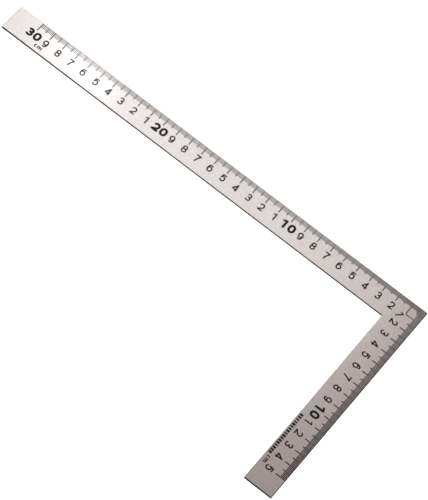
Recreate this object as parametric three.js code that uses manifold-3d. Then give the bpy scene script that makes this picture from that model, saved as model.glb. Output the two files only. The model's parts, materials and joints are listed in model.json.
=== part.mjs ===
// A stainless steel try square with a centimetre scale along each outer edge.
//
// The square is one flat L of sheet steel.  Its numerals and unit letters are shallow etched pockets,
// each filled flush with black enamel, so every numeral stroke group is an enamel inlay of its own.
//
// Frame: millimetres.  The origin is the outer corner on the underside.  +X runs along the outer edge
// of the long arm, +Y along the outer edge of the short arm, and +Z points out of the graduated face.

import * as THREE from "three";
import { mergeVertices } from "three/addons/utils/BufferGeometryUtils.js";
import Module from "manifold-3d";

const wasm = await Module();
wasm.setup();

// ---------------------------------------------------------------- driving dimensions (mm)

const CENTIMETRE = 10; // spacing of the numerals, fixed by the unit they count
const SHEET = 1.5; // thickness of the steel
const INLAY_DEPTH = 0.1; // depth of the etched pockets, which the enamel fills flush

// Each arm is as wide as what is marked across it: the centimetre line, the numerals, the unit
// letters, and the bare steel left at the inner edge.
const LONG_ARM = {
  name: "long_arm",
  counts: -1, // its numerals grow against the reading direction, because it reads to the corner
  scaleLength: 300, // from the outer corner to the last graduation
  endMargin: 18, // bare steel past the last graduation
  centimetreLine: 6.85, // length of a centimetre graduation
  numeralGap: 1.45, // from the end of a centimetre graduation to the numeral
  numeralHeight: 5.55,
  numeralShift: 0, // how far a numeral stands past its graduation in reading direction
  tensGap: 0.6, // the same three sizes for the bold 10, 20 and 30
  tensHeight: 6.35,
  tensShift: 0.3,
  unitGap: 1.25, // from the numerals to the unit letters
  unitHeight: 2.3,
  unitFromEnd: 8, // from the last graduation back to the middle of the unit letters
  innerMargin: 2.6, // from the unit letters to the inner edge
};

const SHORT_ARM = {
  name: "short_arm",
  counts: 1, // its numerals grow in the reading direction, because it reads from the corner
  scaleLength: 150,
  endMargin: 14.5,
  centimetreLine: 7.4,
  numeralGap: 2.05,
  numeralHeight: 5.55,
  numeralShift: -0.4,
  tensGap: 1.7,
  tensHeight: 6.35,
  tensShift: 0.5,
  unitGap: 0.45,
  unitHeight: 2.3,
  unitFromEnd: 4,
  innerMargin: 1.8,
};

// Lettering.  A numeral's cell is this share of its height wide; strokes are real widths.
const NUMERAL_PROPORTION = 0.667;
const TENS_PROPORTION = 0.78;
const NUMERAL_STROKE = 0.95;
const TENS_STROKE = 1.6;
const TENS_SPACING = 0.7; // between the two numerals of 10, 20 and 30
const UNIT_STROKE = 0.7;
const C_PROPORTION = 0.85;
const M_PROPORTION = 1.4;
const UNIT_SPACING = 0.4; // between the c and the m

// The two first centimetre graduations run on until they meet, and close a square in the corner.
const SQUARE_MARK_LINE = 0.62; // width of its line
const SQUARE_MARK_RADIUS = 1.3; // centre-line radius of its rounded corner
const CORNER_NUMERAL_GAP = 1.3; // from that corner to the 1 that both scales share

const ARC_STEP = Math.PI / 8; // one facet of a curved stroke

// ---------------------------------------------------------------- derived sizes

const inlayFloor = SHEET - INLAY_DEPTH;

// Depths are measured from the outer edge of an arm towards its inner edge.
function marksAcross(arm) {
  const baseline = arm.centimetreLine + arm.numeralGap + arm.numeralHeight;
  const tensBaseline = arm.centimetreLine + arm.tensGap + arm.tensHeight;
  const unitBaseline = Math.max(baseline, tensBaseline) + arm.unitGap + arm.unitHeight;
  return { baseline, tensBaseline, unitBaseline, width: unitBaseline + arm.innerMargin };
}

const acrossLong = marksAcross(LONG_ARM);
const acrossShort = marksAcross(SHORT_ARM);
const longLength = LONG_ARM.scaleLength + LONG_ARM.endMargin;
const shortLength = SHORT_ARM.scaleLength + SHORT_ARM.endMargin;

// ---------------------------------------------------------------- materials

const satinStainless = new THREE.MeshStandardMaterial({
  color: 0xcdc6c3,
  roughness: 0.38,
  metalness: 1,
});
const blackEnamel = new THREE.MeshStandardMaterial({
  color: 0x1f1d1e,
  roughness: 0.5,
  metalness: 0,
});

// ---------------------------------------------------------------- solids

function solidFrom(geometry) {
  const bare = new THREE.BufferGeometry();
  const flat = geometry.index ? geometry.toNonIndexed() : geometry;
  bare.setAttribute("position", flat.getAttribute("position"));
  const merged = mergeVertices(bare, 1e-4);
  return new wasm.Manifold(
    new wasm.Mesh({
      numProp: 3,
      vertProperties: merged.attributes.position.array,
      triVerts: new Uint32Array(merged.index.array),
    }),
  );
}

function geometryFrom(solid) {
  const mesh = solid.getMesh();
  const geometry = new THREE.BufferGeometry();
  geometry.setAttribute("position", new THREE.BufferAttribute(mesh.vertProperties, 3));
  geometry.setIndex(new THREE.BufferAttribute(mesh.triVerts, 1));
  return geometry;
}

function plate(shape, depth) {
  return solidFrom(new THREE.ExtrudeGeometry(shape, { depth, steps: 1, bevelEnabled: false }));
}

// ---------------------------------------------------------------- strokes
// A glyph is a list of strokes drawn in a cell: (0, 0) is its lower left corner, x runs in reading
// direction and y runs up.

function ellipsePoints(cx, cy, rx, ry, from, to) {
  const count = Math.max(1, Math.round(Math.abs(to - from) / ARC_STEP));
  const points = [];
  for (let i = 0; i <= count; i++) {
    const angle = from + ((to - from) * i) / count;
    points.push(new THREE.Vector2(cx + rx * Math.cos(angle), cy + ry * Math.sin(angle)));
  }
  return points;
}

// A band of even width along a centre line, with square ends.
function ribbon(centreLine, width) {
  const left = [];
  const right = [];
  centreLine.forEach((point, i) => {
    const before = centreLine[Math.max(0, i - 1)];
    const after = centreLine[Math.min(centreLine.length - 1, i + 1)];
    const along = after.clone().sub(before).normalize();
    const aside = new THREE.Vector2(-along.y, along.x).multiplyScalar(width / 2);
    left.push(point.clone().add(aside));
    right.push(point.clone().sub(aside));
  });
  return new THREE.Shape([...right, ...left.reverse()]);
}

function bar(x0, y0, x1, y1, width) {
  return ribbon([new THREE.Vector2(x0, y0), new THREE.Vector2(x1, y1)], width);
}

function bow(cx, cy, rx, ry, from, to, width) {
  return ribbon(ellipsePoints(cx, cy, rx, ry, from, to), width);
}

// A closed oval band, whose two half ellipses may stand apart with straight sides between them.
function ring(cx, cy, rx, ry, width, straight = 0) {
  const oval = (grow) => {
    const end = ry - straight / 2 + grow;
    const upper = ellipsePoints(cx, cy + straight / 2, rx + grow, end, 0, Math.PI);
    const lower = ellipsePoints(cx, cy - straight / 2, rx + grow, end, Math.PI, 2 * Math.PI);
    return straight > 0 ? [...upper, ...lower] : [...upper.slice(0, -1), ...lower.slice(0, -1)];
  };
  const shape = new THREE.Shape(oval(width / 2));
  shape.holes.push(new THREE.Path(oval(-width / 2)));
  return shape;
}

// The angle at which a line from (x, y), below the ellipse, touches its right-hand side.
function touchingAngle(cx, cy, rx, ry, x, y) {
  const u = (x - cx) / rx;
  const v = (y - cy) / ry;
  return Math.atan2(v, u) + Math.acos(1 / Math.hypot(u, v));
}

// ---------------------------------------------------------------- glyphs
// Each takes the cell's width w, its height h and the stroke s, and returns shapes.

const degrees = THREE.MathUtils.degToRad;

function zero(w, h, s) {
  return [ring(w / 2, h / 2, (w - s) / 2, (h - s) / 2, s, 0.2 * h)];
}

function one(w, h, s) {
  const stem = 0.6 * w;
  return [bar(stem, 0, stem, h, s), bar(0.1 * w, 0.75 * h, stem, 0.95 * h, 0.85 * s)];
}

function two(w, h, s) {
  const rx = (w - s) / 2;
  const ry = 0.27 * h;
  const cx = w / 2;
  const cy = h - s / 2 - ry;
  const foot = 0.45 * s;
  const touch = touchingAngle(cx, cy, rx, ry, foot, s / 2);
  const bend = ellipsePoints(cx, cy, rx, ry, degrees(168), touch);
  return [
    ribbon([...bend, new THREE.Vector2(foot, s / 2)], s),
    bar(0, s / 2, w, s / 2, s),
  ];
}

function three(w, h, s) {
  const span = (h - s) / 2;
  const upper = 0.475 * span;
  const lower = span - upper;
  const middle = s / 2 + 2 * lower;
  const rx = (w - s) / 2;
  return [
    bow(w / 2, h - s / 2 - upper, 0.92 * rx, upper, degrees(165), degrees(-90), s),
    bow(w / 2, s / 2 + lower, rx, lower, degrees(90), degrees(-165), s),
    bar(0.36 * w, middle, 0.53 * w, middle, s),
  ];
}

function four(w, h, s) {
  const stem = 0.7 * w;
  const crossbar = 0.27 * h;
  return [
    bar(stem, 0, stem, h, s),
    bar(0, crossbar, w, crossbar, s),
    bar(0.35 * s, crossbar, stem, h - 0.5 * s, s),
  ];
}

function five(w, h, s) {
  const rx = (w - s) / 2;
  const ry = 0.3 * h;
  return [
    bar(0.2 * w, h - s / 2, 0.93 * w, h - s / 2, s),
    bar(0.27 * w, h, 0.17 * w, 0.42 * h, s),
    bow(w / 2, s / 2 + ry, rx, ry, degrees(140), degrees(-162), s),
  ];
}

function six(w, h, s) {
  const rx = (w - s) / 2;
  const ry = 0.28 * h;
  const crown = 0.36 * h;
  const shoulder = h - s / 2 - crown;
  return [
    ring(w / 2, s / 2 + ry, rx, ry, s),
    bar(s / 2, s / 2 + ry, s / 2, shoulder, s),
    bow(w / 2, shoulder, rx, crown, degrees(180), degrees(42), s),
  ];
}

function seven(w, h, s) {
  const leg = new THREE.QuadraticBezierCurve(
    new THREE.Vector2(w - 0.55 * s, h - s / 2),
    new THREE.Vector2(0.42 * w, 0.5 * h),
    new THREE.Vector2(0.33 * w, 0),
  );
  return [bar(0, h - s / 2, w, h - s / 2, s), ribbon(leg.getPoints(5), s)];
}

function eight(w, h, s) {
  const span = (h - s) / 2;
  const upper = 0.475 * span;
  const lower = span - upper;
  const rx = (w - s) / 2;
  return [
    ring(w / 2, h - s / 2 - upper, 0.9 * rx, upper, s),
    ring(w / 2, s / 2 + lower, rx, lower, s),
  ];
}

// A 9 is a 6 turned half round in its cell.
function nine(w, h, s) {
  return six(w, h, s).map((shape) => {
    const turn = (points) => points.map((p) => new THREE.Vector2(w - p.x, h - p.y));
    const turned = new THREE.Shape(turn(shape.getPoints()));
    turned.holes = shape.holes.map((hole) => new THREE.Path(turn(hole.getPoints())));
    return turned;
  });
}

function letterC(w, h, s) {
  return [bow(w / 2, h / 2, (w - s) / 2, (h - s) / 2, degrees(42), degrees(318), s)];
}

function letterM(w, h, s) {
  const reach = (w - s) / 4;
  const spring = h - s / 2 - reach;
  const strokes = [bar(s / 2, 0, s / 2, h, s)];
  for (const side of [1, 3]) {
    const cx = s / 2 + side * reach;
    const arch = ellipsePoints(cx, spring, reach, reach, degrees(180), 0);
    strokes.push(ribbon([...arch, new THREE.Vector2(cx + reach, 0)], s));
  }
  return strokes;
}

const NUMERALS = [zero, one, two, three, four, five, six, seven, eight, nine];

// The strokes of one glyph, joined into one solid and trimmed square to its cell.
function glyphSolid(draw, w, h, s) {
  const cell = new THREE.Shape([
    new THREE.Vector2(0, 0),
    new THREE.Vector2(w, 0),
    new THREE.Vector2(w, h),
    new THREE.Vector2(0, h),
  ]);
  const joined = draw(w, h, s)
    .map((shape) => plate(shape, INLAY_DEPTH))
    .reduce((whole, stroke) => whole.add(stroke));
  return joined.intersect(plate(cell, INLAY_DEPTH));
}

// ---------------------------------------------------------------- the lettering of one arm

const square = new THREE.Group();
const inlays = [];

function addInlay(parent, name, solid, x, y) {
  const mesh = new THREE.Mesh(geometryFrom(solid), blackEnamel);
  mesh.name = name;
  mesh.position.set(x, y, inlayFloor);
  parent.add(mesh);
  inlays.push(mesh);
}

// In a lettering group x runs in reading direction and y runs up the numerals, towards the outer
// edge, so a depth from that edge is a negative y.
function addNumeral(group, name, digit, centre, baseline, h) {
  const w = NUMERAL_PROPORTION * h;
  const solid = glyphSolid(NUMERALS[digit], w, h, NUMERAL_STROKE);
  addInlay(group, name, solid, centre - w / 2, -baseline);
}

function addTens(group, name, tens, centre, baseline, h) {
  const w = TENS_PROPORTION * h;
  const step = w + TENS_SPACING;
  [tens, 0].forEach((digit, place) => {
    const left = centre - w - TENS_SPACING / 2 + place * step;
    const solid = glyphSolid(NUMERALS[digit], w, h, TENS_STROKE);
    addInlay(group, `${name}_${place === 0 ? "left" : "right"}`, solid, left, -baseline);
  });
}

function addUnit(group, name, centre, baseline, h) {
  const wide = [C_PROPORTION * h, M_PROPORTION * h];
  const left = centre - (wide[0] + UNIT_SPACING + wide[1]) / 2;
  const c = glyphSolid(letterC, wide[0], h, UNIT_STROKE);
  const m = glyphSolid(letterM, wide[1], h, UNIT_STROKE);
  addInlay(group, `${name}_c`, c, left, -baseline);
  addInlay(group, `${name}_m`, m, left + wide[0] + UNIT_SPACING, -baseline);
}

// The numerals from 2 up: the 1 is shared in the corner.
function addScale(arm, across, group) {
  const last = Math.floor(arm.scaleLength / CENTIMETRE);
  for (let count = 2; count <= last; count++) {
    const name = `${arm.name}_numeral_${String(count).padStart(2, "0")}`;
    const graduation = arm.counts * count * CENTIMETRE;
    if (count % 10 === 0) {
      const centre = graduation + arm.tensShift;
      addTens(group, name, count / 10, centre, across.tensBaseline, arm.tensHeight);
    } else {
      const centre = graduation + arm.numeralShift;
      addNumeral(group, name, count % 10, centre, across.baseline, arm.numeralHeight);
    }
  }
  const unitCentre = arm.counts * (arm.scaleLength - arm.unitFromEnd);
  addUnit(group, `${arm.name}_unit`, unitCentre, across.unitBaseline, arm.unitHeight);
}

function letteringGroup(turn) {
  const group = new THREE.Group();
  group.rotation.z = degrees(turn);
  square.add(group);
  return group;
}

addScale(LONG_ARM, acrossLong, letteringGroup(180));
addScale(SHORT_ARM, acrossShort, letteringGroup(90));

// ---------------------------------------------------------------- the corner

// The centre line of the square mark: in from the long arm's outer edge, round its corner, and out
// to the short arm's outer edge.  It starts and ends past the steel and is trimmed to it.
const squareCorner = CENTIMETRE - SQUARE_MARK_RADIUS;
const squareLine = [
  new THREE.Vector2(CENTIMETRE, -1),
  ...ellipsePoints(squareCorner, squareCorner, SQUARE_MARK_RADIUS, SQUARE_MARK_RADIUS, 0, Math.PI / 2),
  new THREE.Vector2(-1, CENTIMETRE),
];
const cornerCell = new THREE.Shape([
  new THREE.Vector2(0, 0),
  new THREE.Vector2(2 * CENTIMETRE, 0),
  new THREE.Vector2(2 * CENTIMETRE, 2 * CENTIMETRE),
  new THREE.Vector2(0, 2 * CENTIMETRE),
]);
const squareMark = plate(ribbon(squareLine, SQUARE_MARK_LINE), INLAY_DEPTH).intersect(
  plate(cornerCell, INLAY_DEPTH),
);
addInlay(square, "corner_square_mark", squareMark, 0, 0);

// The 1 that both scales share stands on the diagonal, its top towards the outer corner.
const cornerLettering = letteringGroup(135);
const markOnDiagonal =
  squareCorner * Math.SQRT2 + SQUARE_MARK_RADIUS + SQUARE_MARK_LINE / 2;
const cornerBaseline = markOnDiagonal + CORNER_NUMERAL_GAP + LONG_ARM.numeralHeight;
addNumeral(cornerLettering, "corner_numeral_01", 1, 0, cornerBaseline, LONG_ARM.numeralHeight);

// ---------------------------------------------------------------- the steel

const outline = new THREE.Shape([
  new THREE.Vector2(0, 0),
  new THREE.Vector2(longLength, 0),
  new THREE.Vector2(longLength, acrossLong.width),
  new THREE.Vector2(acrossShort.width, acrossLong.width),
  new THREE.Vector2(acrossShort.width, shortLength),
  new THREE.Vector2(0, shortLength),
]);

// Each pocket is the shape of its inlay, so the enamel fills it flush with the face.
square.updateMatrixWorld(true);
let steel = plate(outline, SHEET);
for (const inlay of inlays) {
  steel = steel.subtract(solidFrom(inlay.geometry.clone().applyMatrix4(inlay.matrixWorld)));
}

const blade = new THREE.Mesh(geometryFrom(steel), satinStainless);
blade.name = "square_blade";
square.add(blade);

export default square;
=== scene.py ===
# Steel square ruler: one L of satin stainless sheet whose scales are etched and filled with black enamel.
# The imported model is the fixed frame; the operators below make the finished surfaces around it.
import json
import math

import bmesh
import bpy
from bpy.props import FloatProperty, FloatVectorProperty, IntProperty, PointerProperty
from mathutils import Matrix, Vector


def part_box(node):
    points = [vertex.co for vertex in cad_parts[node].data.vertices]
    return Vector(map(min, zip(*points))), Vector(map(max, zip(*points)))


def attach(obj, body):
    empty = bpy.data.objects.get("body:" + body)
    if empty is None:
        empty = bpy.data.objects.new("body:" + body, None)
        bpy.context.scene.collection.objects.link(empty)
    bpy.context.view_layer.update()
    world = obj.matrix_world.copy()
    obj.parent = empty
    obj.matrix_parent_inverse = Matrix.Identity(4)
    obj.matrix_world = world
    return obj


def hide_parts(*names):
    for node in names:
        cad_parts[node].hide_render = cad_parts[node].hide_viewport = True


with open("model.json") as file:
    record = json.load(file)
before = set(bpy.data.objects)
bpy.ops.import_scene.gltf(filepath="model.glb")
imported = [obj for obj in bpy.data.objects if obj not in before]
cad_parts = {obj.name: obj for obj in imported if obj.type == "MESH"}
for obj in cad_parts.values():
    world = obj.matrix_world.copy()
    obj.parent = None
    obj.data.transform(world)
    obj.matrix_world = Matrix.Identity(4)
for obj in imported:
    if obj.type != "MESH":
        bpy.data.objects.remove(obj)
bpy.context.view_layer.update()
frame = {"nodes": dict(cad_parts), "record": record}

bl_info = {
    "name": "Steel Square Ruler",
    "version": (1, 0, 0),
    "blender": (4, 5, 0),
    "location": "3D View > Sidebar > Square",
    "description": "Builds a stainless steel square with etched and enamelled centimetre scales",
    "category": "Add Mesh",
}

# ---------------------------------------------------------------- sizes that the frame gives (metres)

MM = 0.001
BLADE_LOW, BLADE_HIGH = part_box("square_blade")
MOUNTS = {mount["name"]: mount["pos_m"] for mount in frame["record"]["mounts"]}
LONG_WIDTH = MOUNTS["inner_edge_long_arm"][1]
SHORT_WIDTH = MOUNTS["inner_edge_short_arm"][0]
FACE = BLADE_HIGH.z
ETCH_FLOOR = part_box("corner_square_mark")[0].z
CENTIMETRE = 10 * MM

LETTER_NODES = sorted(name for name in frame["nodes"] if "_numeral_" in name or "_unit_" in name)

# How far a lettering cell is turned from reading along +X with its top towards +Y.
READING_TURN = {
    "long_arm": math.radians(180),
    "short_arm": math.radians(90),
    "corner": math.radians(135),
}

# A cell's width as a share of its height.
NUMERAL_PROPORTION = 0.667
TENS_PROPORTION = 0.78
UNIT_PROPORTION = {"c": 0.85, "m": 1.4}

THIN_STROKE = 0.85  # width of a thin stroke as a share of the others

CUTTER_RISE = 0.2 * MM  # how far a cutter stands above the face, so that it cuts cleanly
EDGE_OVERHANG = 0.4 * MM  # how far a graduation cutter starts outside the outer edge
ARC_STEP = math.radians(9)  # one facet of a curved stroke
EDGE_SEGMENTS = 3  # facets across a rounded-over edge
PATTERN_SEED = 7
CLOSE = 0.01 * MM  # two heights nearer than this are the same
LEG_STEPS = 10  # straight pieces in the bent leg of a 7

# The finishes of the blade, in the order of its material slots; the second is the near-black steel of the
# side faces, a painted dark reflection.
SATIN_FACE, PAINTED_DARK_SIDE, ETCHED_RECESS = 0, 1, 2

# How steep a face of the blade is, by the height of its unit normal.
LEVEL_NORMAL = 0.999  # lies flat when more than this
UPRIGHT_NORMAL = 0.01  # stands upright when less than this
TILTED_NORMAL = 0.1  # a rounded edge leans to its side when more than this

FLOOR_HALF = 4.0
FLOOR_GAP = 0.05 * MM
CAMERA_AIM = Vector((0.12376, 0.05546, FACE))
CAMERA_DISTANCE = 1.847
CAMERA_AZIMUTH = math.radians(107.77)
CAMERA_ELEVATION = math.radians(58.91)
CAMERA_ROLL = math.radians(21.91)
CAMERA_LENS = 219.87
CAMERA_NEAR = 0.05
CAMERA_FAR = 50.0

# Soft disc lamps: where each stands, what it points at, its diameter and its power.
LAMPS = {
    "glare": ((0.626, -0.803, 1.334), (0.263, 0.005, 0), 0.06, 0.215),
    "far key": ((0.545, -0.504, 0.829), (0.3, 0, 0), 0.4, 0.62),
    "near key": ((0.228, -0.515, 0.847), (0.09, 0, 0), 0.4, 0.169),
    "near fill": ((0.173, -0.309, 0.509), (0.09, 0, 0), 0.2, 0.088),
    "floor": ((-0.2, 1.3, 1.9), (0.12, 0.05, 0), 1.0, 73.0),
    "back fill": ((-0.5, 2.2, 1.1), (0.12, 0.05, 0), 1.8, 7.0),
    "side fill": ((1.7, 1.7, 0.8), (0.12, 0.05, 0), 1.6, 5.0),
    "front fill": ((0.9, -1.8, 0.6), (0.12, 0.05, 0), 1.2, 3.5),
}
SURROUNDINGS = "#FFE1DA"
SURROUNDINGS_STRENGTH = 0.305


def srgb(code):
    """A hex colour as linear red, green, blue and alpha."""
    channels = [int(code[i:i + 2], 16) / 255 for i in (1, 3, 5)]
    linear = [c / 12.92 if c <= 0.04045 else ((c + 0.055) / 1.055) ** 2.4 for c in channels]
    return (*linear, 1.0)


# ---------------------------------------------------------------- settings


def length(name, description, millimetres):
    """A property for a size."""
    return FloatProperty(name=name, description=description, default=millimetres * MM, unit="LENGTH")


def colour(name, description, code):
    """A property for a colour."""
    return FloatVectorProperty(
        name=name, description=description, default=srgb(code), size=4, min=0, max=1, subtype="COLOR"
    )


class SteelSquareSizes(bpy.types.PropertyGroup):
    """Sizes of the finished surfaces"""

    edge_break: length("Edge Break", "Radius of the rounded-over edges of the sheet", 0.4)
    enamel_dip: length("Enamel Dip", "How far the enamel lies below the steel face", 0.006)
    numeral_stroke: length("Numeral Stroke", "Line width of the single numerals", 0.95)
    tens_stroke: length("Tens Stroke", "Line width of the bold 10, 20 and 30", 1.6)
    unit_stroke: length("Unit Stroke", "Line width of the unit letters", 0.7)
    square_line: length("Square Mark Line", "Line width of the square in the corner", 0.62)
    square_radius: length("Square Mark Radius", "Radius of the rounded corner of that square", 1.3)


class SteelSquareLongScale(bpy.types.PropertyGroup):
    """Graduation lines of the long arm"""

    count: IntProperty(name="Lines", description="Number of millimetre lines", default=300, min=1)
    line: length("First Line Width", "Width of the millimetre line nearest the corner", 0.66)
    last_line: length("Last Line Width", "Width of the millimetre lines far from the corner", 0.42)
    tapered: IntProperty(name="Narrowing Lines", description="Lines over which the width falls", default=110)
    long_line: length("Long Line Width", "Width of the five and ten millimetre lines", 0.68)
    fine: length("Millimetre Line", "Length of a millimetre line", 3.75)
    half: length("Half Line", "Length of a five millimetre line", 4.8)
    whole: length("Centimetre Line", "Length of a centimetre line", 6.85)


class SteelSquareShortScale(bpy.types.PropertyGroup):
    """Graduation lines of the short arm"""

    count: IntProperty(name="Lines", description="Number of millimetre lines", default=150, min=1)
    line: length("First Line Width", "Width of the millimetre line nearest the corner", 0.58)
    last_line: length("Last Line Width", "Width of the millimetre lines far from the corner", 0.68)
    tapered: IntProperty(name="Widening Lines", description="Lines over which the width grows", default=150)
    long_line: length("Long Line Width", "Width of the five and ten millimetre lines", 0.76)
    fine: length("Millimetre Line", "Length of a millimetre line", 4.1)
    half: length("Half Line", "Length of a five millimetre line", 5.4)
    whole: length("Centimetre Line", "Length of a centimetre line", 7.4)


class SteelSquareBars(bpy.types.PropertyGroup):
    """Plain row of short bars beside the inner edge of the short arm"""

    count: IntProperty(name="Bars", description="Number of bars in the row", default=17, min=1)
    pitch: length("Pitch", "Distance from the start of one bar to the start of the next", 2.0)
    shortest: length("Shortest Bar", "Least length of a bar, along the arm", 1.1)
    longest: length("Longest Bar", "Greatest length of a bar, along the arm", 1.75)
    height: length("Height", "Height of a bar, across the arm", 2.3)
    margin: length("Margin", "From the bars to the inner edge of the arm", 0.8)
    start: length("Start", "From the outer edge of the long arm to the first bar", 108.8)


class SteelSquareColours(bpy.types.PropertyGroup):
    """Colours of the finishes"""

    steel: colour("Satin Stainless", "Reflection colour of the steel faces", "#CBCAC9")
    # Near black: a painted dark reflection on the side faces, standing in for dark surroundings that they
    # would mirror.
    edge: colour("Edge Painted Dark", "Reflection colour of the sheared side faces", "#100F0F")
    enamel: colour("Black Enamel", "Colour of the enamel in the etched marks", "#0D0C0C")
    paper: colour("Studio Paper", "Colour of the floor", "#F4F3F2")


class SteelSquareSettings(bpy.types.PropertyGroup):
    """Everything that a user would change"""

    sizes: PointerProperty(type=SteelSquareSizes)
    long_scale: PointerProperty(type=SteelSquareLongScale)
    short_scale: PointerProperty(type=SteelSquareShortScale)
    bars: PointerProperty(type=SteelSquareBars)
    colours: PointerProperty(type=SteelSquareColours)


def settings():
    return bpy.context.scene.steel_square


# ---------------------------------------------------------------- meshes


def stroke_solid(left, right, low, high, closed=False):
    """A closed solid between two heights, over the band between a left and a right side line."""
    solid = bmesh.new()
    rows = [
        [solid.verts.new((*point, height)) for point in side]
        for side, height in ((left, low), (right, low), (right, high), (left, high))
    ]
    count = len(left)
    for i in range(count if closed else count - 1):
        j = (i + 1) % count
        for a, b in zip(rows, rows[1:] + rows[:1]):
            solid.faces.new((a[i], a[j], b[j], b[i]))
    if not closed:
        solid.faces.new([row[0] for row in rows])
        solid.faces.new([row[-1] for row in reversed(rows)])
    bmesh.ops.recalc_face_normals(solid, faces=solid.faces)
    mesh = bpy.data.meshes.new("stroke")
    solid.to_mesh(mesh)
    solid.free()
    return mesh


def temporary(mesh):
    thing = bpy.data.objects.new("temporary", mesh)
    bpy.context.scene.collection.objects.link(thing)
    return thing


def evaluated_mesh(thing):
    """The object's mesh with its modifiers applied; the object itself is removed."""
    bpy.context.view_layer.update()
    ready = thing.evaluated_get(bpy.context.evaluated_depsgraph_get())
    mesh = bpy.data.meshes.new_from_object(ready)
    bpy.data.objects.remove(thing)
    return mesh


def combined(base, tools, operation):
    """The base mesh with each tool mesh joined to it, cut from it or kept in common with it."""
    thing = temporary(base)
    helpers = [temporary(tool) for tool in tools]
    for helper in helpers:
        boolean = thing.modifiers.new("boolean", "BOOLEAN")
        boolean.operation = operation
        boolean.solver = "MANIFOLD"
        boolean.object = helper
    mesh = evaluated_mesh(thing)
    for helper in helpers:
        bpy.data.objects.remove(helper)
    return mesh


def joined(meshes):
    """Meshes that don't touch each other, as one mesh."""
    whole = bmesh.new()
    for mesh in meshes:
        whole.from_mesh(mesh)
    result = bpy.data.meshes.new("joined")
    whole.to_mesh(result)
    whole.free()
    return result


def moved(mesh, matrix):
    copy = mesh.copy()
    copy.transform(matrix)
    return copy


def middle_of(mesh):
    xs, ys, _ = zip(*(vertex.co for vertex in mesh.vertices))
    return Vector(((min(xs) + max(xs)) / 2, (min(ys) + max(ys)) / 2, 0))


def add_piece(name, mesh, materials, slot, *nodes):
    """Puts a finished mesh in the scene, in place of the CAD nodes that it stands for."""
    mesh.name = name
    mesh.materials.clear()
    for material in materials:
        mesh.materials.append(material)
    piece = bpy.data.objects.new(name, mesh)
    bpy.context.scene.collection.objects.link(piece)
    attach(piece, "root")
    if nodes:
        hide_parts(*nodes)
    return piece


# ---------------------------------------------------------------- strokes and glyphs
# A glyph is drawn in a cell of width w and height h: x runs in reading direction and y runs up.
# Its strokes are centre lines, open or closed, of the stroke width s, or thin ones a little narrower.


def arc(cx, cy, rx, ry, start, end):
    """Points on an ellipse, with the angles in degrees."""
    start, end = math.radians(start), math.radians(end)
    count = max(2, round(abs(end - start) / ARC_STEP))
    angles = [start + (end - start) * i / count for i in range(count + 1)]
    return [Vector((cx + rx * math.cos(a), cy + ry * math.sin(a))) for a in angles]


def line(x0, y0, x1, y1):
    return [Vector((x0, y0)), Vector((x1, y1))]


def oval(cx, cy, rx, ry, straight=0.0):
    """A closed oval, whose two half ellipses may stand apart with straight sides between them."""
    end = ry - straight / 2
    upper = arc(cx, cy + straight / 2, rx, end, 0, 180)
    lower = arc(cx, cy - straight / 2, rx, end, 180, 360)
    return upper + lower if straight else upper[:-1] + lower[:-1]


def touching_angle(cx, cy, rx, ry, x, y):
    """Where a line from a point below the ellipse touches its right-hand side, in degrees."""
    u, v = (x - cx) / rx, (y - cy) / ry
    return math.degrees(math.atan2(v, u) + math.acos(1 / math.hypot(u, v)))


def zero(w, h, s):
    return [("closed", oval(w / 2, h / 2, (w - s) / 2, (h - s) / 2, 0.2 * h))]


def one(w, h, s):
    stem = 0.6 * w
    return [("open", line(stem, 0, stem, h)), ("thin", line(0.1 * w, 0.75 * h, stem, 0.95 * h))]


def two(w, h, s):
    rx, ry = (w - s) / 2, 0.27 * h
    cx, cy = w / 2, h - s / 2 - ry
    foot = Vector((0.45 * s, s / 2))
    touch = touching_angle(cx, cy, rx, ry, *foot)
    return [
        ("open", arc(cx, cy, rx, ry, 168, touch) + [foot]),
        ("open", line(0, s / 2, w, s / 2)),
    ]


def three(w, h, s):
    span = (h - s) / 2
    upper = 0.475 * span
    lower = span - upper
    middle = s / 2 + 2 * lower
    rx = (w - s) / 2
    return [
        ("open", arc(w / 2, h - s / 2 - upper, 0.92 * rx, upper, 165, -90)),
        ("open", arc(w / 2, s / 2 + lower, rx, lower, 90, -165)),
        ("open", line(0.36 * w, middle, 0.53 * w, middle)),
    ]


def four(w, h, s):
    stem, crossbar = 0.7 * w, 0.27 * h
    return [
        ("open", line(stem, 0, stem, h)),
        ("open", line(0, crossbar, w, crossbar)),
        ("open", line(0.35 * s, crossbar, stem, h - 0.5 * s)),
    ]


def five(w, h, s):
    rx, ry = (w - s) / 2, 0.3 * h
    return [
        ("open", line(0.2 * w, h - s / 2, 0.93 * w, h - s / 2)),
        ("open", line(0.27 * w, h, 0.17 * w, 0.42 * h)),
        ("open", arc(w / 2, s / 2 + ry, rx, ry, 140, -162)),
    ]


def six(w, h, s):
    rx, ry = (w - s) / 2, 0.28 * h
    crown = 0.36 * h
    shoulder = h - s / 2 - crown
    return [
        ("closed", oval(w / 2, s / 2 + ry, rx, ry)),
        ("open", line(s / 2, s / 2 + ry, s / 2, shoulder)),
        ("open", arc(w / 2, shoulder, rx, crown, 180, 42)),
    ]


def seven(w, h, s):
    top = Vector((w - 0.55 * s, h - s / 2))
    bend = Vector((0.42 * w, 0.5 * h))
    toe = Vector((0.33 * w, 0))
    steps = [i / LEG_STEPS for i in range(LEG_STEPS + 1)]
    leg = [top * (1 - t) ** 2 + bend * 2 * t * (1 - t) + toe * t**2 for t in steps]
    return [("open", line(0, h - s / 2, w, h - s / 2)), ("open", leg)]


def eight(w, h, s):
    span = (h - s) / 2
    upper = 0.475 * span
    lower = span - upper
    rx = (w - s) / 2
    return [
        ("closed", oval(w / 2, h - s / 2 - upper, 0.9 * rx, upper)),
        ("closed", oval(w / 2, s / 2 + lower, rx, lower)),
    ]


def nine(w, h, s):
    """A 6 turned half round in its cell."""
    cell = Vector((w, h))
    return [(kind, [cell - point for point in points]) for kind, points in six(w, h, s)]


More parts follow.
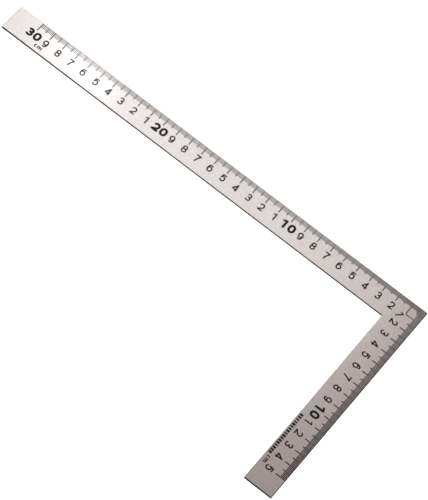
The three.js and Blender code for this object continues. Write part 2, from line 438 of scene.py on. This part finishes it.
def letter_c(w, h, s):
    return [("open", arc(w / 2, h / 2, (w - s) / 2, (h - s) / 2, 42, 318))]


def letter_m(w, h, s):
    reach = (w - s) / 4
    spring = h - s / 2 - reach
    strokes = [("open", line(s / 2, 0, s / 2, h))]
    for side in (1, 3):
        cx = s / 2 + side * reach
        arch = arc(cx, spring, reach, reach, 180, 0)
        strokes.append(("open", arch + [Vector((cx + reach, 0))]))
    return strokes


NUMERALS = (zero, one, two, three, four, five, six, seven, eight, nine)
GLYPHS = {str(i): draw for i, draw in enumerate(NUMERALS)}
GLYPHS.update(c=letter_c, m=letter_m)


def side_lines(points, width, closed):
    """The two sides of a band of even width along a centre line."""
    left, right = [], []
    last = len(points) - 1
    for i, point in enumerate(points):
        before = points[i - 1] if closed or i else point
        after = points[(i + 1) % len(points)] if closed or i < last else point
        along = (after - before).normalized()
        aside = Vector((-along.y, along.x)) * width / 2
        left.append(point + aside)
        right.append(point - aside)
    return left, right


def glyph_solid(sign, w, h, s, low, high):
    """One numeral or letter as a closed solid between two heights, trimmed square to its cell."""
    strokes = []
    for kind, points in GLYPHS[sign](w, h, s):
        closed = kind == "closed"
        width = THIN_STROKE * s if kind == "thin" else s
        strokes.append(stroke_solid(*side_lines(points, width, closed), low, high, closed))
    cell = stroke_solid(line(0, 0, w, 0), line(0, h, w, h), low, high)
    return combined(combined(strokes[0], strokes[1:], "UNION"), [cell], "INTERSECT")


def lettering(node):
    """What a numeral or letter node shows: its sign, its cell's width and height, and its stroke."""
    sizes = settings().sizes
    like = "long_arm_numeral_02" if node.startswith("corner") else node
    low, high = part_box(like)
    h = (high - low).x if like.startswith("short_arm") else (high - low).y
    if "_unit_" in node:
        return node[-1], UNIT_PROPORTION[node[-1]] * h, h, sizes.unit_stroke
    number = node.split("_numeral_")[1]
    if node.endswith(("_left", "_right")):
        sign = number[0] if node.endswith("_left") else number[1]
        return sign, TENS_PROPORTION * h, h, sizes.tens_stroke
    return number[1], NUMERAL_PROPORTION * h, h, sizes.numeral_stroke


def inlay_solid(node, top):
    """One numeral or letter, from the etched floor up to a height, where its CAD node lies."""
    turn = next(turn for arm, turn in READING_TURN.items() if node.startswith(arm))
    solid = glyph_solid(*lettering(node), ETCH_FLOOR, top)
    solid.transform(Matrix.Rotation(turn, 4, "Z"))
    low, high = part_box(node)
    place = (low + high) / 2
    solid.transform(Matrix.Translation(Vector((place.x, place.y, 0)) - middle_of(solid)))
    return solid


# ---------------------------------------------------------------- repeated marks


def add_node(tree, kind, inputs=None, **node_settings):
    """A node with its settings; each input takes a value, or the output socket that feeds it."""
    node = tree.nodes.new(kind)
    for name, value in node_settings.items():
        setattr(node, name, value)
    for key, value in (inputs or {}).items():
        if isinstance(value, bpy.types.NodeSocket):
            tree.links.new(value, node.inputs[key])
        else:
            node.inputs[key].default_value = value
    return node


def new_tree(name, sockets):
    """An empty geometry tree with named inputs; returns it with each input's socket."""
    tree = bpy.data.node_groups.new(name, "GeometryNodeTree")
    tree.interface.new_socket("Geometry", in_out="OUTPUT", socket_type="NodeSocketGeometry")
    for label, kind in sockets.items():
        tree.interface.new_socket(label, in_out="INPUT", socket_type="NodeSocket" + kind)
    entry = add_node(tree, "NodeGroupInput")
    return tree, {label: entry.outputs[label] for label in sockets}


def block(tree, side):
    """A unit block that stands on its place and reaches out to one side of it."""
    cube = add_node(tree, "GeometryNodeMeshCube", {"Size": (1, 1, 1)})
    half_way = add_node(tree, "ShaderNodeMath", {0: side, 1: 0.5}, operation="MULTIPLY")
    shift = add_node(tree, "ShaderNodeCombineXYZ", {"Y": half_way.outputs[0], "Z": 0.5})
    return add_node(
        tree, "GeometryNodeTransform", {"Geometry": cube.outputs[0], "Translation": shift.outputs[0]}
    ).outputs[0]


def finish_tree(tree, instances, turn, material):
    """Turns the instances to their arm, makes them real and gives them their material."""
    rotation = add_node(tree, "ShaderNodeCombineXYZ", {"Z": turn})
    turned = add_node(
        tree, "GeometryNodeTransform", {"Geometry": instances, "Rotation": rotation.outputs[0]}
    )
    real = add_node(tree, "GeometryNodeRealizeInstances", {0: turned.outputs[0]})
    coated = add_node(tree, "GeometryNodeSetMaterial", {"Geometry": real.outputs[0], "Material": material})
    add_node(tree, "NodeGroupOutput", {0: coated.outputs[0]})


def graduation_tree():
    """Lines at an even pitch.  Every fifth and tenth is longer and has a width of its own, the width
    of the others changes over the tapered lines, and near the corner each stops at the diagonal,
    where the line of the other arm meets it.  The skipped line is left out."""
    tree, given = new_tree("Graduation Lines", {
        "Count": "Int", "Pitch": "Float", "First Line Width": "Float", "Last Line Width": "Float",
        "Tapered Lines": "Int", "Long Line Width": "Float",
        "Millimetre Line": "Float", "Half Line": "Float", "Centimetre Line": "Float",
        "Overhang": "Float", "Floor": "Float", "Rise": "Float", "Skipped Line": "Int",
        "Side": "Float", "Turn": "Float", "Material": "Material",
    })
    index = add_node(tree, "GeometryNodeInputIndex")
    number = add_node(tree, "ShaderNodeMath", {0: index.outputs[0], 1: 1.0}, operation="ADD").outputs[0]

    def every(step):
        left_over = add_node(tree, "ShaderNodeMath", {0: number, 1: step}, operation="FLOORED_MODULO")
        return add_node(
            tree, "FunctionNodeCompare", {0: left_over.outputs[0], 1: 0.0, "Epsilon": 0.1},
            data_type="FLOAT", operation="EQUAL",
        ).outputs[0]

    fifth = every(5)
    shorter = add_node(
        tree, "GeometryNodeSwitch",
        {"Switch": fifth, "False": given["Millimetre Line"], "True": given["Half Line"]},
        input_type="FLOAT",
    )
    nominal = add_node(
        tree, "GeometryNodeSwitch",
        {"Switch": every(10), "False": shorter.outputs[0], "True": given["Centimetre Line"]},
        input_type="FLOAT",
    )
    fine_width = add_node(
        tree, "ShaderNodeMapRange",
        {
            "Value": number, "From Min": 1.0, "From Max": given["Tapered Lines"],
            "To Min": given["First Line Width"], "To Max": given["Last Line Width"],
        },
    )
    width = add_node(
        tree, "GeometryNodeSwitch",
        {"Switch": fifth, "False": fine_width.outputs[0], "True": given["Long Line Width"]},
        input_type="FLOAT",
    ).outputs[0]
    half_width = add_node(tree, "ShaderNodeMath", {0: width, 1: 0.5}, operation="MULTIPLY")
    diagonal = add_node(
        tree, "ShaderNodeMath", {0: number, 1: given["Pitch"], 2: half_width.outputs[0]},
        operation="MULTIPLY_ADD",
    )
    drawn = add_node(
        tree, "ShaderNodeMath", {0: nominal.outputs[0], 1: diagonal.outputs[0]}, operation="MINIMUM"
    )
    reach = add_node(
        tree, "ShaderNodeMath", {0: drawn.outputs[0], 1: given["Overhang"]}, operation="ADD"
    )
    size = add_node(
        tree, "ShaderNodeCombineXYZ",
        {"X": width, "Y": reach.outputs[0], "Z": given["Rise"]},
    )
    outside = add_node(
        tree, "ShaderNodeMath", {0: given["Overhang"], 1: given["Side"]}, operation="MULTIPLY"
    )
    outside = add_node(tree, "ShaderNodeMath", {0: outside.outputs[0], 1: -1.0}, operation="MULTIPLY")
    start = add_node(
        tree, "ShaderNodeCombineXYZ",
        {"X": given["Pitch"], "Y": outside.outputs[0], "Z": given["Floor"]},
    )
    step = add_node(tree, "ShaderNodeCombineXYZ", {"X": given["Pitch"]})
    places = add_node(
        tree, "GeometryNodeMeshLine",
        {"Count": given["Count"], "Start Location": start.outputs[0], "Offset": step.outputs[0]},
    )
    kept = add_node(
        tree, "FunctionNodeCompare", {0: number, 1: given["Skipped Line"], "Epsilon": 0.1},
        data_type="FLOAT", operation="NOT_EQUAL",
    )
    lines = add_node(
        tree, "GeometryNodeInstanceOnPoints",
        {
            "Points": places.outputs[0], "Selection": kept.outputs[0],
            "Instance": block(tree, given["Side"]), "Scale": size.outputs[0],
        },
    )
    finish_tree(tree, lines.outputs[0], given["Turn"], given["Material"])
    return tree


def bar_tree():
    """A row of plain bars of uneven lengths, which starts at a place on the arm."""
    tree, given = new_tree("Bar Row", {
        "Count": "Int", "Pitch": "Float", "Shortest": "Float", "Longest": "Float",
        "Height": "Float", "Start": "Vector", "Rise": "Float", "Seed": "Int", "Side": "Float",
        "Turn": "Float", "Material": "Material",
    })
    step = add_node(tree, "ShaderNodeCombineXYZ", {"X": given["Pitch"]})
    places = add_node(
        tree, "GeometryNodeMeshLine",
        {"Count": given["Count"], "Start Location": given["Start"], "Offset": step.outputs[0]},
    )
    bar_length = add_node(
        tree, "FunctionNodeRandomValue",
        {2: given["Shortest"], 3: given["Longest"], "Seed": given["Seed"]}, data_type="FLOAT",
    )
    size = add_node(
        tree, "ShaderNodeCombineXYZ",
        {"X": bar_length.outputs[1], "Y": given["Height"], "Z": given["Rise"]},
    )
    bars = add_node(
        tree, "GeometryNodeInstanceOnPoints",
        {"Points": places.outputs[0], "Instance": block(tree, given["Side"]), "Scale": size.outputs[0]},
    )
    finish_tree(tree, bars.outputs[0], given["Turn"], given["Material"])
    return tree


def grown(tree, values):
    """The plain mesh that a geometry tree makes from these inputs."""
    thing = temporary(bpy.data.meshes.new("grown"))
    modifier = thing.modifiers.new("marks", "NODES")
    modifier.node_group = tree
    for item in tree.interface.items_tree:
        if item.in_out == "INPUT":
            modifier[item.identifier] = values[item.name]
    return evaluated_mesh(thing)


def graduation_cutter(scale, side, turn):
    values = {
        "Count": scale.count, "Pitch": MM, "First Line Width": scale.line,
        "Last Line Width": scale.last_line, "Tapered Lines": scale.tapered,
        "Long Line Width": scale.long_line, "Millimetre Line": scale.fine, "Half Line": scale.half,
        "Centimetre Line": scale.whole, "Overhang": EDGE_OVERHANG, "Floor": ETCH_FLOOR,
        "Rise": FACE + CUTTER_RISE - ETCH_FLOOR,
        "Skipped Line": round(CENTIMETRE / MM), "Side": side, "Turn": turn,
        "Material": black_enamel(),
    }
    return grown(graduation_tree(), values)


def long_cutter():
    return graduation_cutter(settings().long_scale, 1.0, 0.0)


def short_cutter():
    return graduation_cutter(settings().short_scale, -1.0, math.radians(90))


def bar_solid(top):
    bars = settings().bars
    across = SHORT_WIDTH - bars.margin - bars.height
    values = {
        "Count": bars.count, "Pitch": bars.pitch, "Shortest": bars.shortest, "Longest": bars.longest,
        "Height": bars.height, "Start": (bars.start, -across, ETCH_FLOOR), "Rise": top - ETCH_FLOOR,
        "Seed": PATTERN_SEED, "Side": -1.0, "Turn": math.radians(90), "Material": black_enamel(),
    }
    return grown(bar_tree(), values)


def square_mark_cutter():
    """The two first centimetre lines, which run on and meet in a rounded corner."""
    sizes = settings().sizes
    bend = CENTIMETRE - sizes.square_radius
    path = [Vector((CENTIMETRE, -EDGE_OVERHANG))]
    path += arc(bend, bend, sizes.square_radius, sizes.square_radius, 0, 90)
    path += [Vector((-EDGE_OVERHANG, CENTIMETRE))]
    return stroke_solid(*side_lines(path, sizes.square_line, False), ETCH_FLOOR, FACE + CUTTER_RISE)


# ---------------------------------------------------------------- the steel


def sheet_body():
    """The L of sheet, before etching, with every edge rounded over."""
    outline = [
        (BLADE_LOW.x, BLADE_LOW.y),
        (BLADE_HIGH.x, BLADE_LOW.y),
        (BLADE_HIGH.x, LONG_WIDTH),
        (SHORT_WIDTH, LONG_WIDTH),
        (SHORT_WIDTH, BLADE_HIGH.y),
        (BLADE_LOW.x, BLADE_HIGH.y),
    ]
    sheet = bmesh.new()
    rings = [[sheet.verts.new((x, y, z)) for x, y in outline] for z in (BLADE_LOW.z, FACE)]
    sheet.faces.new(reversed(rings[0]))
    sheet.faces.new(rings[1])
    for i in range(len(outline)):
        j = (i + 1) % len(outline)
        sheet.faces.new((rings[0][i], rings[0][j], rings[1][j], rings[1][i]))
    bmesh.ops.bevel(
        sheet,
        geom=sheet.edges[:],
        offset=settings().sizes.edge_break,
        segments=EDGE_SEGMENTS,
        profile=0.5,
        affect="EDGES",
    )
    mesh = bpy.data.meshes.new("sheet")
    sheet.to_mesh(mesh)
    sheet.free()
    return mesh


def mark_finishes(mesh):
    """Gives each face of the blade its finish. The rounded top edges along the long scale and at its end are
    polished with the face; the other side faces and rounded edges take the near-black steel, a painted dark
    reflection."""
    for face in mesh.polygons:
        at_long_end = face.center.x > BLADE_HIGH.x - settings().sizes.edge_break
        at_long_scale = face.normal.y < -TILTED_NORMAL
        polished = face.normal.z > TILTED_NORMAL and (at_long_scale or at_long_end)
        level = abs(face.normal.z) > LEVEL_NORMAL
        upright = abs(face.normal.z) < UPRIGHT_NORMAL
        above_floor = face.center.z > ETCH_FLOOR - CLOSE
        at_face = face.center.z > FACE - CLOSE
        if level and above_floor and not at_face or upright and above_floor:
            face.material_index = ETCHED_RECESS
        else:
            # The remaining side faces and rounded edges get the painted dark reflection.
            face.material_index = SATIN_FACE if level or polished else PAINTED_DARK_SIDE


# ---------------------------------------------------------------- finishes


def new_material(name):
    material = bpy.data.materials.new(name)
    material.use_nodes = True
    material.node_tree.nodes.clear()
    return material, material.node_tree


def finish_material(tree, shader):
    add_node(tree, "ShaderNodeOutputMaterial", {"Surface": shader.outputs[0]})


def noise(tree, place, grain, detail=2.0, roughness=0.5):
    """Noise whose lumps are about one grain, a size in metres, across."""
    values = {"Vector": place, "Scale": 1 / grain, "Detail": detail, "Roughness": roughness}
    return add_node(tree, "ShaderNodeTexNoise", values).outputs["Fac"]


def satin_stainless():
    """Rolled stainless sheet with a satin face: a grey metal that spreads a lamp into a broad soft
    glow with a small bright core, from the polished tops of its grain.  The grain is fine and even,
    and rolling and handling leave faint uneven patches."""
    found = bpy.data.materials.get("satin_stainless_sheet")
    if found:
        return found
    material, tree = new_material("satin_stainless_sheet")
    place = add_node(tree, "ShaderNodeTexCoord").outputs["Object"]
    patches = noise(tree, place, 38 * MM, 3.0)
    grain = noise(tree, place, 1.3 * MM, 3.0, 0.6)
    roughness = add_node(
        tree, "ShaderNodeMapRange", {"Value": patches, "To Min": 0.31, "To Max": 0.35}
    )
    tone = add_node(
        tree, "ShaderNodeMapRange",
        {"Value": grain, "From Min": 0.3, "From Max": 0.7, "To Min": 0.88, "To Max": 1.08},
    )
    steel = add_node(
        tree, "ShaderNodeVectorMath",
        {0: settings().colours.steel[:3], "Scale": tone.outputs[0]}, operation="SCALE",
    )
    bump = add_node(
        tree, "ShaderNodeBump", {"Height": grain, "Strength": 0.12, "Distance": 0.02 * MM}
    )
    face = add_node(
        tree, "ShaderNodeBsdfPrincipled",
        {
            "Base Color": steel.outputs[0], "Metallic": 1.0, "Roughness": roughness.outputs[0],
            "Normal": bump.outputs[0],
        },
    )
    grain_tops = add_node(
        tree, "ShaderNodeBsdfPrincipled",
        {"Base Color": steel.outputs[0], "Metallic": 1.0, "Roughness": 0.12},
    )
    both = add_node(tree, "ShaderNodeMixShader", {0: 0.1, 1: face.outputs[0], 2: grain_tops.outputs[0]})
    finish_material(tree, both)
    return material


def painted_dark_edge():
    """The cut side of the sheet: duller than the face and near black, with fine upright tool lines. The near
    black is a painted dark reflection, standing in for dark surroundings mirrored in the side faces.
    """
    found = bpy.data.materials.get("steel_edge_painted_dark_reflection")
    if found:
        return found
    material, tree = new_material("steel_edge_painted_dark_reflection")
    place = add_node(tree, "ShaderNodeTexCoord").outputs["Object"]
    upright = add_node(tree, "ShaderNodeMapping", {"Vector": place, "Scale": (1, 1, 0.1)})
    lines = noise(tree, upright.outputs[0], 0.25 * MM)
    tone = add_node(tree, "ShaderNodeMapRange", {"Value": lines, "To Min": 0.75, "To Max": 1.2})
    steel = add_node(
        tree, "ShaderNodeVectorMath",
        {0: settings().colours.edge[:3], "Scale": tone.outputs[0]}, operation="SCALE",
    )
    bump = add_node(
        tree, "ShaderNodeBump", {"Height": lines, "Strength": 0.4, "Distance": 0.02 * MM}
    )
    shader = add_node(
        tree, "ShaderNodeBsdfPrincipled",
        {
            "Base Color": steel.outputs[0], "Metallic": 1.0, "Roughness": 0.5,
            "Normal": bump.outputs[0],
        },
    )
    finish_material(tree, shader)
    return material


def black_enamel():
    """Baked black enamel in the etched marks: near black with a dull gloss, a little mottled."""
    found = bpy.data.materials.get("baked_black_enamel")
    if found:
        return found
    material, tree = new_material("baked_black_enamel")
    place = add_node(tree, "ShaderNodeTexCoord").outputs["Object"]
    mottle = noise(tree, place, 0.4 * MM)
    tone = add_node(tree, "ShaderNodeMapRange", {"Value": mottle, "To Min": 0.7, "To Max": 1.4})
    enamel = add_node(
        tree, "ShaderNodeVectorMath",
        {0: settings().colours.enamel[:3], "Scale": tone.outputs[0]}, operation="SCALE",
    )
    bump = add_node(
        tree, "ShaderNodeBump", {"Height": mottle, "Strength": 0.15, "Distance": 0.01 * MM}
    )
    shader = add_node(
        tree, "ShaderNodeBsdfPrincipled",
        {
            "Base Color": enamel.outputs[0], "Roughness": 0.5, "Specular IOR Level": 0.2,
            "Normal": bump.outputs[0],
        },
    )
    finish_material(tree, shader)
    return material


def studio_paper():
    """Matt white paper for the floor."""
    material, tree = new_material("matt_studio_paper")
    shader = add_node(
        tree, "ShaderNodeBsdfPrincipled",
        {"Base Color": settings().colours.paper, "Roughness": 0.9, "Specular IOR Level": 0.2},
    )
    finish_material(tree, shader)
    return material


# ---------------------------------------------------------------- operators


class BuildBlade(bpy.types.Operator):
    """Make the sheet of steel, with a shallow etched recess for every mark"""

    bl_idname = "steel_square.build_blade"
    bl_label = "Steel Blade"

    def execute(self, context):
        glyphs = joined([inlay_solid(node, FACE + CUTTER_RISE) for node in LETTER_NODES])
        bars = bar_solid(FACE + CUTTER_RISE)
        cutters = [glyphs, bars, square_mark_cutter(), long_cutter(), short_cutter()]
        mesh = combined(sheet_body(), cutters, "DIFFERENCE")
        materials = [satin_stainless(), painted_dark_edge(), black_enamel()]
        blade = add_piece("blade", mesh, materials, "blade_steel", "square_blade")
        mark_finishes(blade.data)
        return {"FINISHED"}


class BuildNumerals(bpy.types.Operator):
    """Fill every etched numeral and unit letter with black enamel"""

    bl_idname = "steel_square.build_numerals"
    bl_label = "Numerals"

    def execute(self, context):
        top = FACE - settings().sizes.enamel_dip
        for node in LETTER_NODES:
            add_piece(f"{node}_enamel", inlay_solid(node, top), [black_enamel()], "marking_enamel", node)
        return {"FINISHED"}


class BuildGraduations(bpy.types.Operator):
    """Fill the graduation lines, the square mark and the bar row with black enamel"""

    bl_idname = "steel_square.build_graduations"
    bl_label = "Graduations"

    def execute(self, context):
        dip = settings().sizes.enamel_dip
        filled = moved(sheet_body(), Matrix.Translation((0, 0, -dip)))
        long_lines = combined(long_cutter(), [filled], "INTERSECT")
        short_lines = combined(short_cutter(), [filled.copy()], "INTERSECT")
        short_lines = combined(short_lines, [long_cutter()], "DIFFERENCE")
        mark = combined(square_mark_cutter(), [filled.copy()], "INTERSECT")
        enamel = [black_enamel()]
        add_piece("long_arm_graduations", long_lines, enamel, "marking_enamel")
        add_piece("short_arm_graduations", short_lines, enamel, "marking_enamel")
        add_piece("corner_square_enamel", mark, enamel, "marking_enamel", "corner_square_mark")
        add_piece("short_arm_bar_row", bar_solid(FACE - dip), enamel, "marking_enamel")
        return {"FINISHED"}


class BuildStage(bpy.types.Operator):
    """Make the floor, the soft lights and the camera"""

    bl_idname = "steel_square.build_stage"
    bl_label = "Stage"

    def execute(self, context):
        build_floor()
        build_lights()
        build_camera()
        return {"FINISHED"}


# ---------------------------------------------------------------- stage


def build_floor():
    floor = bmesh.new()
    bmesh.ops.create_grid(floor, x_segments=1, y_segments=1, size=FLOOR_HALF)
    bmesh.ops.translate(floor, verts=floor.verts, vec=(0, 0, -FLOOR_GAP))
    mesh = bpy.data.meshes.new("floor")
    floor.to_mesh(mesh)
    floor.free()
    mesh.materials.append(studio_paper())
    sheet = bpy.data.objects.new("floor", mesh)
    bpy.context.scene.collection.objects.link(sheet)


def build_lights():
    world = bpy.data.worlds.new("studio")
    world.use_nodes = True
    surroundings = world.node_tree.nodes["Background"]
    surroundings.inputs["Color"].default_value = srgb(SURROUNDINGS)
    surroundings.inputs["Strength"].default_value = SURROUNDINGS_STRENGTH
    bpy.context.scene.world = world
    bpy.context.scene.view_settings.view_transform = "Standard"
    for name, (place, target, diameter, watts) in LAMPS.items():
        lamp = bpy.data.lights.new(name, "AREA")
        lamp.shape = "DISK"
        lamp.size = diameter
        lamp.energy = watts
        holder = bpy.data.objects.new(name, lamp)
        holder.location = place
        holder.rotation_euler = (Vector(target) - Vector(place)).to_track_quat("-Z", "Y").to_euler()
        bpy.context.scene.collection.objects.link(holder)


def build_camera():
    camera = bpy.data.cameras.new("camera")
    camera.lens = CAMERA_LENS
    camera.clip_start = CAMERA_NEAR
    camera.clip_end = CAMERA_FAR
    turn = Matrix.Rotation(CAMERA_AZIMUTH + math.radians(90), 4, "Z")
    tilt = Matrix.Rotation(math.radians(90) - CAMERA_ELEVATION, 4, "X")
    roll = Matrix.Rotation(CAMERA_ROLL, 4, "Z")
    back = Matrix.Translation((0, 0, CAMERA_DISTANCE))
    holder = bpy.data.objects.new("camera", camera)
    holder.matrix_world = Matrix.Translation(CAMERA_AIM) @ turn @ tilt @ roll @ back
    bpy.context.scene.collection.objects.link(holder)
    bpy.context.scene.camera = holder


class SteelSquarePanel(bpy.types.Panel):
    """Lists the settings and the build steps"""

    bl_idname = "STEELSQUARE_PT_panel"
    bl_label = "Steel Square"
    bl_space_type = "VIEW_3D"
    bl_region_type = "UI"
    bl_category = "Square"

    def draw(self, context):
        for name in ("sizes", "long_scale", "short_scale", "bars", "colours"):
            group = getattr(settings(), name)
            box = self.layout.box()
            box.label(text=group.bl_rna.description)
            for prop in group.bl_rna.properties:
                if prop.identifier not in {"rna_type", "name"}:
                    box.prop(group, prop.identifier)
        for operator in OPERATORS:
            self.layout.operator(operator.bl_idname)


OPERATORS = (BuildStage, BuildBlade, BuildNumerals, BuildGraduations)
CLASSES = (
    SteelSquareSizes,
    SteelSquareLongScale,
    SteelSquareShortScale,
    SteelSquareBars,
    SteelSquareColours,
    SteelSquareSettings,
    *OPERATORS,
    SteelSquarePanel,
)


def register():
    for cls in CLASSES:
        bpy.utils.register_class(cls)
    bpy.types.Scene.steel_square = PointerProperty(type=SteelSquareSettings)


def unregister():
    del bpy.types.Scene.steel_square
    for cls in reversed(CLASSES):
        bpy.utils.unregister_class(cls)


def main():
    register()
    bpy.ops.steel_square.build_stage()
    bpy.ops.steel_square.build_blade()
    bpy.ops.steel_square.build_numerals()
    bpy.ops.steel_square.build_graduations()


if __name__ == "__main__":
    main()
